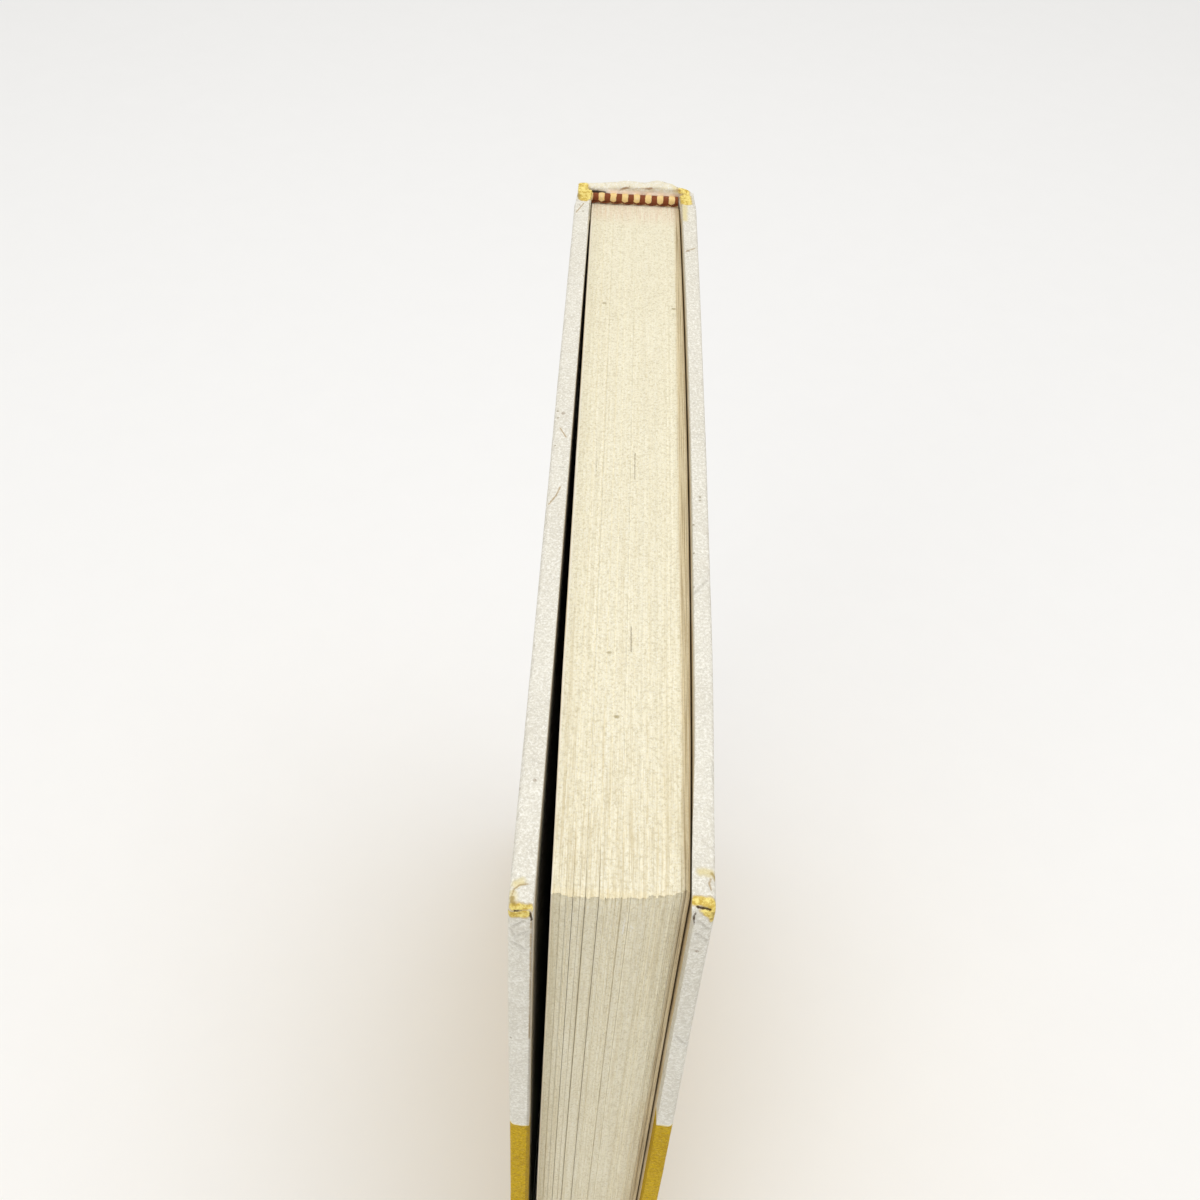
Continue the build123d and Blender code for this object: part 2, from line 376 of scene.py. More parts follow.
def bent_copy(node, material, body):
    """A solid's own shape, cut into strips so that it follows the warp of the worn book."""
    work = bmesh.new()
    work.from_mesh(frame["nodes"][node].data)
    bmesh.ops.remove_doubles(work, verts=work.verts, dist=0.002 * MM)
    low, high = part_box(node)
    near_lips = {1: (low.y + 3.0 * MM, low.y + 2.0 * MM), 2: (high.z - 2.6 * MM, high.z - 1.6 * MM)}
    for axis, lip_cuts in near_lips.items():
        normal = Vector([float(axis == i) for i in range(3)])
        length = high[axis] - low[axis]
        count = round(length / (12 * MM))
        for cut in [low[axis] + length * step / count for step in range(1, count)] + [*lip_cuts]:
            everything = work.verts[:] + work.edges[:] + work.faces[:]
            bmesh.ops.bisect_plane(work, geom=everything, plane_co=normal * cut, plane_no=normal)
    bmesh.ops.triangulate(work, faces=work.faces)
    for vertex in work.verts:
        if node == "spine_strip":
            # Its head is kept inside the worn rim and the knocked corner of the covering
            past_corner = max(vertex.co.x - middle_x - 10.3 * MM, 0.0)
            vertex.co.x -= past_corner * smooth((vertex.co.z - head_z + 11 * MM) / (4 * MM))
            vertex.co.z = min(vertex.co.z, head_z - 1.1 * MM)
        vertex.co = bowed(vertex.co, cover=body != "pages")
    mesh = bpy.data.meshes.new(node + "_worn")
    piece = dressed(mesh, work, material, body)
    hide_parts(node)


# Wear: rows of places in millimetres, in the frame. At the two near corners and at the spine's
# head the covering is worn through to its yellow base. Along the slits and creases the colour
# also carries painted shade, and beside the creases a painted highlight.

HEAD = 241.1
LEAF_HEAD = 238.1
FRONT_END = -86.2
BACK_END = -85.2


def on_head(*line, z=HEAD):
    """A line on the head of the covers or of the leaves, from pairs of X and Y."""
    return tuple((x, y, z) for x, y in line)


def on_end(*line):
    """A line on a cover's fore-edge, from pairs of X and Z."""
    return tuple((x, FRONT_END if x < 0 else BACK_END, z) for x, z in line)


WEAR = {
    "front_cover": {
        "bare": (
            ((-12.9, -86.1, 240.9), (-10.3, -86.2, 240.9)),
            on_end((-13.1, 239.45), (-11.2, 239.65)),
        ),
        "stains": (on_head((-12.7, -82.9), (-12.0, -82.5)), on_head((-13.1, -84.2), (-12.9, -85.0))),
        "scabs": (on_head((-13.1, -84.8), (-12.7, -85.8)),),
        "slits": (on_end((-12.6, 240.25), (-11.3, 240.3)), on_end((-10.75, 240.3), (-10.45, 238.3))),
        "cracks": (
            on_head((-11.1, -82.7), (-12.2, -83.0), (-12.9, -83.6), (-13.2, -84.7)),
            on_head((-11.5, 5.8), (-10.4, 3.5)),
            on_head((-10.2, 77.0), (-11.6, 73.6)),
            on_head((-10.8, -8.9), (-11.3, -10.9), (-12.4, -13.1)),
            on_end((-10.55, 238.3), (-10.4, 205.0)),
        ),
        "creases": (
            on_end((-11.3, 238.2), (-12.9, 236.5)),
            on_end((-11.0, 235.7), (-12.5, 234.0), (-13.2, 235.9)),
            on_end((-12.9, 232.6), (-11.2, 230.9)),
        ),
        "dots": on_head(
            (-12.1, 10.2), (-12.0, 8.4), (-12.1, 1.1), (-11.0, 76.2), (-10.2, 74.0), (-13.0, -43.0)
        ) + on_end((-13.0, 205.0)),
    },
    "back_cover": {
        "bare": (
            on_head((9.9, -83.9), (11.9, -84.0)),
            on_end((11.2, 240.7), (12.2, 239.8), (12.5, 238.9)),
            ((12.0, -84.5, 241.0), (12.6, -84.9, 240.8)),
        ),
        "stains": (on_head((10.5, 78.0), (10.5, 73.0)), on_head((10.7, -79.7), (12.0, -79.9))),
        "scabs": (on_end((12.3, 240.2), (12.6, 238.9)), on_head((12.2, -80.0), (12.7, -80.7))),
        "slits": (
            ((9.9, -84.75, HEAD), (11.6, -84.95, 240.9)),
            ((10.2, -84.6, 240.8), (11.8, -84.8, 240.6)),
            on_end((10.1, 240.9), (9.85, 239.1), (9.95, 237.4)),
        ),
        "cracks": (
            on_head((11.95, -80.7), (11.7, -81.3), (11.95, -82.2)),
            on_head((10.6, 61.6), (12.4, 63.0)),
        ),
        "creases": (
            on_end((10.4, 238.4), (12.0, 236.6)),
            on_end((10.7, 235.2), (12.2, 233.4)),
            on_end((10.6, 206.0), (12.0, 203.6)),
            on_head((10.6, -31.0), (12.7, -28.0)),
        ),
        "dots": on_head(
            (11.95, -9.4), (11.9, -10.2), (10.8, -16.0), (10.7, -22.4), (10.6, -29.7)
        ) + on_end((12.2, 239.0)),
    },
    "spine": {
        "bare": (
            on_head((-10.5, 84.2), (-10.2, 79.0)),
            on_head((-9.6, 83.2), (-9.5, 79.8)),
            on_head((10.4, 84.4), (10.9, 79.6)),
        ),
        "stains": (on_head((9.6, 83.4), (8.0, 85.6)),),
        "scabs": (on_head((-11.4, 80.5), (-11.2, 79.0)),),
        "slits": (((-9.2, 83.6, HEAD - 1.7), (-6.6, 83.6, HEAD - 1.6)),),
        "cracks": (
            on_head((-1.6, 86.3), (-0.8, 84.4)),
            ((5.8, 86.8, HEAD + 0.7), (6.6, 84.9, HEAD)),
            ((9.2, 86.3, HEAD + 0.5), (9.0, 84.4, HEAD)),
        ),
        "creases": (on_head((-6.4, 86.2), (-5.6, 84.2)),),
        "dots": on_head((2.4, 86.0), (-4.0, 85.9)),
    },
}
# The inner crease of the spine's rim, darkened along it as painted shade
RIM_EDGE = ((
    (-3.4, 83.9, 240.2), (-1.7, 84.5, 240.8), (-0.7, 84.2, 240.9), (3.2, 84.5, 240.9),
    (6.1, 85.4, 241.2), (8.1, 84.5, 240.9), (9.6, 84.5, 240.9),
),)
FOXING = on_head((-5.1, 47.0), (8.2, 46.4), (-2.0, -41.0), (-0.6, -53.0), z=LEAF_HEAD)
# Slits between leaves on the head of the pages, drawn with painted shade
LEAF_SLITS = (
    on_head((1.35, -35.8), (1.42, -40.7), z=LEAF_HEAD),
    on_head((1.45, 4.0), (1.5, -2.6), z=LEAF_HEAD),
    on_head((-5.4, 10.8), (-5.0, -2.1), z=LEAF_HEAD),
    on_head((-4.1, -6.0), (-3.9, -22.0), z=LEAF_HEAD),
)
LINT = (
    ((1.4, -82.5, 193.3), (1.8, -82.5, 192.9)),
    ((2.3, -82.4, 231.4), (2.75, -82.4, 230.8)),
    ((1.55, -82.5, 233.0), (1.45, -82.5, 229.5)),
    ((5.0, -82.1, 234.5), (5.1, -82.1, 234.3)),
)


def line_distance(point, line):
    """The distance from a point to a row of places, all in millimetres."""
    gaps = []
    for start, end in zip(line, line[1:]):
        offset, toward = point - Vector(start), Vector(end) - Vector(start)
        share = min(max(offset.dot(toward) / toward.length_squared, 0.0), 1.0)
        gaps.append((offset - toward * share).length)
    return min(gaps)


# Materials


def printed_ground(made, fibre, fine):
    """The print before any wear: off-white at the head and mustard yellow below its border."""
    point, _, y, z = made.place()
    cloud = made.noise(point, 0.09, 3.0, 0.5)
    white = made.coats(
        srgb(233, 229, 215),
        (cloud.between(0.35, 0.7), 225, 220, 205),
        ((y + 60.0).between(0.0, 140.0) * 0.3, 216, 210, 194),
        (fibre.between(0.44, 0.7) * 0.6, 204, 198, 184),
        (fine.between(0.52, 0.4) * 0.6, 208, 202, 188),
        (fine.between(0.5, 0.62) * 0.8, 251, 248, 239),
    )
    yellow = made.coats(
        srgb(204, 168, 6),
        (cloud.between(0.3, 0.7), 190, 153, 3),
        (fibre.between(0.45, 0.72) * 0.6, 208, 176, 36),
        (fine.between(0.47, 0.62) * 0.7, 160, 122, 0),
        (fine.between(0.48, 0.36) * 0.6, 224, 190, 30),
    )
    border = (head_z - YELLOW_DEPTH) / MM + made.noise(point, 0.5, 2.0, 0.5) * 1.4 - 0.7
    below = border - z
    pale_line = below.band(0.0, 0.2, 0.15) * 0.8
    return made.coats(made.mix(below.between(-0.12, 0.12), white, yellow), (pale_line, 244, 234, 190))


def spine_head_marks(made, colour, rough, bare, fine):
    """The spine's head: its beige inside, painted lighter as painted light, its pale rim with painted
    shade in its inner crease, and painted shade in the gap at the band.
    """
    _, x, y, z = made.place()
    back, up = y - hinge_y / MM, z - head_z / MM
    # Painted light: the beige inside is painted lighter than its own tint, against the shade there
    inside = (back - 1.9).between(0.5, -0.3) * (back + 0.5).between(0.0, 0.6)
    inside = inside * (up + 0.9).between(0.5, -0.4) * (x + 5.5).between(-1.0, 1.0)
    rim = up.between(-1.2, -0.5) * back.between(1.2, 1.8) * (1 - inside)
    rim = rim * bare.between(0.8, 1.4) * fine.between(0.62, 0.4)
    # Painted shade: a dark strip where the lining stands open behind the band's front end
    behind = back.between(0.0, 0.2) * (2.3 - back).between(0.0, 0.2)
    behind = behind * (x + 5.6).between(0.2, -0.5) * (x + 9.3).between(0.0, 0.3)
    return made.coats(
        colour,
        (inside * 0.85, 255, 234, 210),
        (rim * 0.5, 248, 236, 198),
        # Painted shade along the rim's inner crease
        (made.strokes(rough, RIM_EDGE, 0.1, 0.26) * 0.8, 156, 116, 74),
        # Painted shade in the lining's opening
        (behind * (up + 1.0).between(0.0, -0.3) * 0.9, 52, 34, 20),
    )


def covering_finish(part):
    """Printed paper on the boards, soiled, creased, and torn where WEAR says.

    The creases and slits carry painted shade, and the creases a painted highlight beside them.
    """
    wear = WEAR[part]
    made = Finish(part + "_covering_paper", roughness=0.55, specular=0.12)
    point, x, y, z = made.place()
    fibre = made.noise(point, 1.3, 5.0, 0.68)
    fine = made.noise(point, 2.6, 4.0, 0.75)
    grime = made.noise(point, 0.35, 4.0, 0.7).between(0.6, 0.8)
    soil = made.specks(point, 0.45, 0.2, 0.1) * fine.between(0.3, 0.55)
    on_face = (x * x).between(172.0, 179.0)
    torn = made.ragged(point, 1.6, 0.55)
    bare = made.near_lines(torn, wear["bare"])
    bare_half = 1.0 if part == "spine" else 0.48
    pulp = made.noise(point, 1.4, 4.0, 0.7).between(0.4, 0.62)
    colour = made.coats(
        printed_ground(made, fibre, fine),
        (grime * 0.2, 170, 150, 118),
        (soil * (0.6 - on_face * 0.42), 128, 96, 60),
        (made.near_lines(torn, wear["stains"]).between(1.0, 0.1) * 0.55, 222, 202, 118),
        (bare.between(bare_half + 0.45, bare_half + 0.2) * 0.55, 190, 160, 92),
    )
    base = made.coats(srgb(246, 227, 138), (pulp, 204, 172, 78))
    colour = made.mix(bare.between(bare_half + 0.25, bare_half), colour, base)
    rough = made.ragged(point, 4.0, 0.22)
    folds = made.near_lines(rough, wear["creases"])
    colour = made.coats(
        colour,
        (made.strokes(torn, wear["scabs"], 0.15, 0.35) * 0.75, 168, 142, 72),
        (made.strokes(rough, wear["cracks"], 0.03, 0.18) * 0.75, 168, 140, 92),
        # Painted shade along the creases, and a painted highlight on the ridges beside them
        (folds.between(0.4, 0.02) * 0.3, 160, 154, 142),
        (folds.band(0.5, 0.1, 0.3) * 0.25, 248, 246, 240),
        # Painted shade: dark strokes inside the slits
        (made.strokes(rough, wear["slits"], 0.11, 0.12) * 0.95, 70, 50, 26),
        (made.near_points(rough, wear["dots"]).between(0.3, 0.08) * 0.75, 140, 126, 92),
    )
    if part == "front_cover":
        # Painted shade: below the torn corner the rounded turned-in edge is darkened into a strip
        turned_in_edge_shade = (x + 10.5).between(-0.05, 0.1) * (y + 85.5).between(0.2, -0.2)
        turned_in_edge_shade = turned_in_edge_shade * (PAST_HEAD - z).between(0.0, 0.5)
        colour = made.mix(turned_in_edge_shade * 0.45, colour, srgb(150, 138, 122), "MULTIPLY")
    if part == "spine":
        colour = spine_head_marks(made, colour, rough, bare, fine)
    made.feed("Roughness", 0.5 + fibre * 0.25)
    wrinkle = made.noise(point, 0.4, 4.0, 0.55, 0.6)
    return made.finished(colour, fibre * 0.4 + fine * 0.3 + wrinkle * 2.2, 0.34 * MM, 0.95)


def page_finish():
    """Trimmed edges of cream leaves: fine lines along the leaves, a rough grain, foxing and slits.

    The slits carry painted shade, and the faces off the head a slight painted shade.
    """
    made = Finish("page_edges", roughness=0.85, specular=0.12)
    point, x, y, z = made.place()
    rough = made.ragged(point, 3.0, 0.25)
    lines = made.noise(made.vector("MULTIPLY", point, (7.0, 0.12, 0.12)), 1.0, 4.0, 0.7)
    leaves = made.noise(made.vector("MULTIPLY", point, (1.3, 0.02, 0.02)), 1.0, 2.0, 0.5)
    grain = made.noise(point, 1.9, 5.0, 0.72)
    pulp = made.noise(point, 3.6, 4.0, 0.7)
    cloud = made.noise(point, 0.05, 3.0, 0.5)
    near_end = (y + 84).between(90.0, 0.0)
    on_head = (z - pages_high.z / MM + 0.25).between(0.0, 0.1)
    near_streaks = lines.between(0.46, 0.6) * (y + 84).between(34.0, 4.0) * on_head
    right_leaves = (pages_high.x / MM - x).between(1.5, 0.7)
    strips = made.noise(made.vector("MULTIPLY", point, (9.0, 0.05, 0.05)), 1.0, 2.0, 0.5)
    by_back = (pages_high.y / MM - y).between(9.0, 3.0) * on_head
    from_left = x - pages_low.x / MM
    spots = made.near_lines(rough, [(spot, (spot[0] + 0.3, *spot[1:])) for spot in FOXING])
    # Painted shade: dark strokes inside the slits between leaves
    slits = made.strokes(rough, LEAF_SLITS, 0.02, 0.1)
    cream = made.coats(
        srgb(254, 248, 224),
        (cloud.between(0.3, 0.7), 250, 243, 217),
        ((1 - near_end) * 0.5, 236, 229, 202),
        (grain.between(0.43, 0.66) * 0.65, 207, 195, 158),
        (pulp.between(0.48, 0.62) * 0.75, 255, 252, 238),
        (lines.between(0.42, 0.7) * (0.2 + near_end * 0.3), 214, 200, 162),
        (leaves.between(0.5, 0.75) * (0.1 + near_end * 0.25), 220, 205, 164),
        # Painted shade: the faces off the head, such as the fore-edge, a little darker
        ((1 - on_head) * 0.12, 222, 212, 186),
        (near_streaks * 0.3, 212, 194, 148),
        ((y + 82.0).between(1.4, 0.0) * on_head * 0.2, 250, 230, 172),
        (right_leaves * 0.6, 216, 196, 152),
        (right_leaves * strips.between(0.52, 0.6) * 0.6, 150, 124, 80),
        (from_left.between(0.3, 0.15) * 0.5, 252, 248, 236),
        (by_back * lines.between(0.35, 0.65) * 0.4, 232, 196, 168),
        (from_left.between(3.4, 0.0) * (1 - on_head) * 0.15, 206, 192, 150),
        (spots.between(0.42, 0.12) * 0.6, 160, 140, 84),
        (slits * 0.55, 146, 126, 84),
        (made.strokes(rough, LINT, 0.05, 0.1) * 0.8, 255, 252, 246),
    )
    relief = lines * 0.4 + grain * 0.6 + pulp * 0.4 - slits * 0.6
    return made.finished(cream, relief, 0.2 * MM, 0.9)


def sheet_finish(name, pale, shade, stain, grain):
    """Plain paper, faintly mottled, and stained along its edges."""
    made = Finish(name, roughness=0.75, specular=0.2)
    point, _, y, z = made.place()
    fibre = made.noise(point, grain, 5.0, 0.7)
    cloud = made.noise(point, 0.04, 3.0, 0.6)
    colour = made.mix(cloud.between(0.2, 0.9) * 0.5, pale, shade)
    colour = made.mix(fibre.between(0.5, 0.8) * 0.4, colour, shade)
    edge = (y - PAST_FORE_EDGE).between(9.0, 0.0).at_least((head_z / MM - 3.0 - z).between(7.0, 0.0))
    colour = made.mix(edge * (0.35 + cloud.between(0.35, 0.6) * 0.5), colour, stain)
    return made.finished(colour, fibre, 0.04 * MM, 0.6)


def board_finish():
    """Grey pulp board with dark and pale fibres."""
    made = Finish("grey_board", roughness=0.9, specular=0.15)
    point = made.place()[0]
    pulp = made.noise(point, 1.5, 6.0, 0.75)
    flecks = made.specks(point, 1.2, 0.25, 0.3)
    colour = made.coats(
        srgb(150, 142, 128), (pulp.between(0.35, 0.7), 182, 172, 154), (flecks * 0.6, 104, 94, 80)
    )
    return made.finished(colour, pulp, 0.15 * MM, 0.8)


def weave_finish(name, pitch, thread, gap):
    """Plain weave: two sets of threads, each over the other in turn."""
    made = Finish(name, roughness=0.9, specular=0.1)
    point, x, y, z = made.place()
    across = ((x + y) * (tau / pitch)).math("SINE")
    along = (z * (tau / pitch)).math("SINE")
    threads = across.math("ABSOLUTE").at_least(along.math("ABSOLUTE"))
    over = across * along
    slub = made.noise(made.vector("MULTIPLY", point, (1.0, 1.0, 0.3)), 2.0, 3.0, 0.6)
    colour = made.mix(threads.between(0.3, 0.7), gap, thread)
    colour = made.mix(slub.between(0.4, 0.8) * 0.35, colour, gap)
    return made.finished(colour, threads * 0.7 + over * 0.3, 0.12 * MM, 0.9)


def stitch_finish(first_x, stitch_width):
    """Headband thread: cream lobes between brown stitches, which meet below the lobes."""
    made = Finish("band_thread", roughness=0.6, specular=0.25)
    point, x, _, z = made.place()
    waver = made.noise(point, 1.3, 2.0, 0.5) * 0.3 - 0.15
    share = ((x - first_x + waver) / (2 * stitch_width)).math("FRACT")
    off_lobe = (share - 0.75).math("ABSOLUTE")
    height = (z - head_z / MM).math("ABSOLUTE").at_most(z.math("ABSOLUTE"))
    lobe_half = height.between(2.65, 2.1) * 0.27
    cream_share = (off_lobe - lobe_half).between(0.02, -0.02)
    strands = (x * (tau / 0.22) + made.noise(point, 4.0, 2.0, 0.5) * 3.0).math("SINE")
    worn = made.noise(point, 1.1, 3.0, 0.6)
    cream = made.coats(
        srgb(232, 192, 122),
        (strands.between(-0.6, 0.8), 250, 224, 160),
        (worn.between(0.5, 0.75) * 0.6, 240, 228, 196),
    )
    dark = made.coats(
        srgb(112, 54, 26),
        (strands.between(-0.6, 0.8), 150, 80, 42),
        (worn.between(0.58, 0.75) * 0.5, 196, 130, 84),
    )
    colour = made.mix(cream_share, dark, cream)
    return made.finished(colour, strands * 0.5 + cream_share * 1.5, 0.07 * MM, 0.8)


def cord_finish():
    """Brown thread, twisted, along the foot of the headband."""
    made = Finish("brown_thread", roughness=0.6, specular=0.25)
    point, x, _, z = made.place()
    twist = ((x + z * 1.6) * (tau / 0.35)).math("SINE")
    worn = made.noise(point, 2.0, 3.0, 0.6)
    colour = made.coats(
        srgb(104, 50, 26),
        (twist.between(-0.7, 0.7), 152, 86, 48),
        (worn.between(0.55, 0.75) * 0.45, 206, 160, 112),
    )
    return made.finished(colour, twist, 0.05 * MM, 0.8)


# Pages


def fore_edge_line(node):
    """The fore-edge's Y as a function of X: a curve through both corners and the middle of the solid."""
    points = [vertex.co for vertex in frame["nodes"][node].data.vertices]
    low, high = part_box(node)
    near = 0.02 * MM
    left = min(p.y for p in points if p.x < low.x + near)
    right = min(p.y for p in points if p.x > high.x - near)
    middle = low.y
    half = (high.x - low.x) / 2

    def line(x):
        t = (x - middle_x) / half
        return middle + (right - left) / 2 * t + ((left + right) / 2 - middle) * t * t

    return line


def leaf_steps(leaf_count):
    """How far each leaf stands out at the head and the fore-edge, and how worn its corner is."""
    seeded = Random(4)
    head = [seeded.uniform(-0.05, 0.05) * MM for _ in range(leaf_count)]
    fore = [seeded.uniform(-0.07, 0.07) * MM for _ in range(leaf_count)]
    worn_back = [seeded.uniform(0.0, 0.32) * MM for _ in range(leaf_count)]
    index = 0
    while index < leaf_count:
        width = seeded.randint(2, 6)
        rise, push = seeded.uniform(-0.07, 0.07) * MM, seeded.uniform(-0.16, 0.12) * MM
        bite = seeded.uniform(0.0, 0.3) * MM
        for number in range(index, min(index + width, leaf_count)):
            worn_back[number] += bite
            head[number] += rise
            fore[number] += push
        index += width
    return head, fore, worn_back


def leaf_columns(leaf_count, section_count):
    """The places in X that divide the pages: both sides of each gap, and its bottom between them.

    Each comes with the leaf's number, the depth of its groove, and how far the fore-edge gapes.
    """
    section_leaves = leaf_count // section_count
    gaping = {  # How far the fore-edge gapes between two leaves, in millimetres
        7: 0.3, 12: 0.35, 18: 0.8, 24: 0.3, 29: 0.9, 41: 1.2, 61: 0.4, 68: 0.25, 113: 0.5, 117: 0.6,
    }
    leaf = (pages_high.x - pages_low.x) / leaf_count
    columns = []
    for index in range(leaf_count + 1):
        edge = pages_low.x + index * leaf
        groove = (0.10 if index % section_leaves else 0.3) * MM
        gape = gaping.get(index, 0.0) * MM
        step = (0.05 if gape > 0.5 * MM else 0.03 if gape else 0.014) * MM
        if index in (0, leaf_count):
            groove = 0.0
        if index > 0:
            columns.append((edge - step, index - 1, 0.0, 0.0))
        columns.append((edge, min(index, leaf_count - 1), groove, gape))
        if index < leaf_count:
            columns.append((edge + step, index, 0.0, 0.0))
    return columns


def build_pages(material):
    """The leaves as one closed skin: small steps from leaf to leaf, and a groove at each section."""
    leaf_count, section_count = 120, 8
    head_steps = fore_steps = 60
    head, fore, worn_back = leaf_steps(leaf_count)
    fore_edge = fore_edge_line("text_block")
    loops = []
    back = pages_high.y
    for x, number, groove, gape in leaf_columns(leaf_count, section_count):
        front = fore_edge(x)
        torn = wobble(x / MM * 1.5, seed=6) * 0.14 * MM
        lean = wobble(number * 0.35, seed=1) * 0.05 * MM
        loop = []
        for step in range(head_steps + 1):
            share = 1 - (1 - step / head_steps) ** 1.6
            y = back + (front - back) * share
            corner = smooth((share - 0.985) / 0.015)
            drop = head[number] * (0.4 + 0.6 * share)
            drop += wobble(x / MM * 0.4, y / MM * 0.02, seed=2) * 0.08 * MM
            cut = groove + gape * 0.25 * smooth((share - 0.93) / 0.07)
            push = (fore[number] + torn) * corner + gape * corner
            if step == head_steps:
                push += worn_back[number]
            z = pages_high.z + drop - cut - abs(torn) * corner * 0.6
            loop.append((y + push, z, lean * sin(share * pi)))
        for step in [0.45] + list(range(1, fore_steps)):
            share = (step / fore_steps) ** 1.4
            z = pages_high.z + (pages_low.z - pages_high.z) * share
            push = fore[number] + wobble(x / MM * 0.5, z / MM * 0.015, seed=3) * 0.10 * MM
            push += torn * smooth((0.01 - share) / 0.01)
            push += worn_back[number] * smooth((0.009 - share) / 0.009)
            loop.append((front + push + groove + gape * smooth((1 - share) / 0.2), z, 0.0))
        loop.append((front + groove, pages_low.z + groove, 0.0))
        loop.append((back, pages_low.z + groove, 0.0))
        loops.append([bowed((x + shift, y, z)) for y, z, shift in loop])
    piece = make_bar("page_block", loops, material, "pages", "page_paper", smooth_shaded=False)
    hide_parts("text_block")


# Covers


def cover_sizes(side):
    """Where the cover starts and ends, measured from its hinge line, and how thick it is."""
    place = hinge_place[side]
    turn = opening[side]
    along = Vector((side * sin(turn), -cos(turn), 0))
    outward = Vector((side * cos(turn), sin(turn), 0))
    spans = [
        ((vertex.co - place).dot(along), (vertex.co - place).dot(outward))
        for vertex in frame["nodes"][COVERS[side] + "_covering"].data.vertices
    ]
    start = min(u for u, v in spans)
    end = max(u for u, v in spans)
    thickness = max(v for u, v in spans)
    return along, outward, start, end, thickness


def graded(length, coarse, fine, fine_length):
    """Shares from 0 to 1 along a length whose last part is divided more finely."""
    plain = length - fine_length
    first = max(1, round(plain / coarse))
    last = round(fine_length / fine)
    return [plain / length * step / first for step in range(first)] + [
        (plain + fine_length * step / last) / length for step in range(last)
    ]


def cover_paths():
    """The shares at which a cover's outline is divided: along its head, fore-edge, tail and joint."""
    head = graded(160 * MM, 0.8 * MM, 0.22 * MM, 8 * MM)
    fore = [1 - share for share in reversed(graded(238 * MM, 0.9 * MM, 0.22 * MM, 9 * MM)[1:])]
    tail_count, joint_count, corner_count = 80, 60, 9
    return head, [0.0] + fore, tail_count, joint_count, corner_count


def rounded_outline(start, end, insets, radius, paths):
    """Points on the outline of a cover, drawn in at each edge, as pairs of depth and height.

    The insets are those at the joint edge, the fore-edge, and both the head and the tail.
    """
    joint, fore_inset, ends = insets
    u_low, u_high = start + joint, end - fore_inset
    z_low, z_high = ends, head_z - ends
    head, fore, tail_count, joint_count, corner_count = paths
    points = [(u_low + (u_high - radius - u_low) * share, z_high) for share in head]
    corner = arc(corner_count, closed=False)
    points += [(u_high - radius + radius * s, z_high - radius + radius * c) for s, c in corner]
    points += [(u_high, z_high - radius - (z_high - z_low - 2 * radius) * share) for share in fore]
    points += [(u_high - radius + radius * c, z_low + radius - radius * s) for s, c in corner]
    length = u_high - radius - u_low
    points += [(u_high - radius - length * step / tail_count, z_low) for step in range(tail_count)]
    height = z_high - z_low
    points += [(u_low, z_low + height * step / joint_count) for step in range(joint_count)]
    return points


def edge_relief(side, u, v, z):
    """How far the covering stands proud of its plain form, in metres, near the edges."""
    swell = wobble(u / MM * 0.05, v / MM * 0.3, z / MM * 0.05, seed=side + 5) * 0.14
    ripple = wobble(u / MM * 0.30, v / MM * 0.5, z / MM * 0.30, seed=side + 8) * 0.08
    pucker = wobble(u / MM * 0.9, v / MM * 0.9, z / MM * 0.9, seed=side + 3) * 0.04
    return (swell + ripple + pucker) * MM


def worn_relief(point, side):
    """How far the wear stands proud of the covering, in metres, at a place in the frame."""
    place = point / MM
    # No wear lies both lower and further back than this
    lowest, furthest_back = 225, -80
    if place.z < lowest and place.y > furthest_back:
        return 0.0
    wear = WEAR[COVERS[side] + "_cover"]
    proud = 0.0
    for line in wear["slits"]:
        proud -= 0.15 * smooth(1 - line_distance(place, line) / 0.4)
    for line in wear["bare"]:
        proud -= 0.12 * smooth(1 - line_distance(place, line) / 0.7)
    for line in wear["creases"] + wear["cracks"]:
        distance = line_distance(place, line)
        proud -= 0.11 * smooth(1 - distance / 0.45)
        proud += 0.12 * smooth(1 - abs(distance - 0.6) / 0.45)
    if side == FRONT:
        raised = line_distance(place, ((-11.4, -84.6, HEAD), (-11.5, -84.0, HEAD)))
        proud += 0.22 * smooth((1.25 - raised) / 0.5)
    return proud * MM


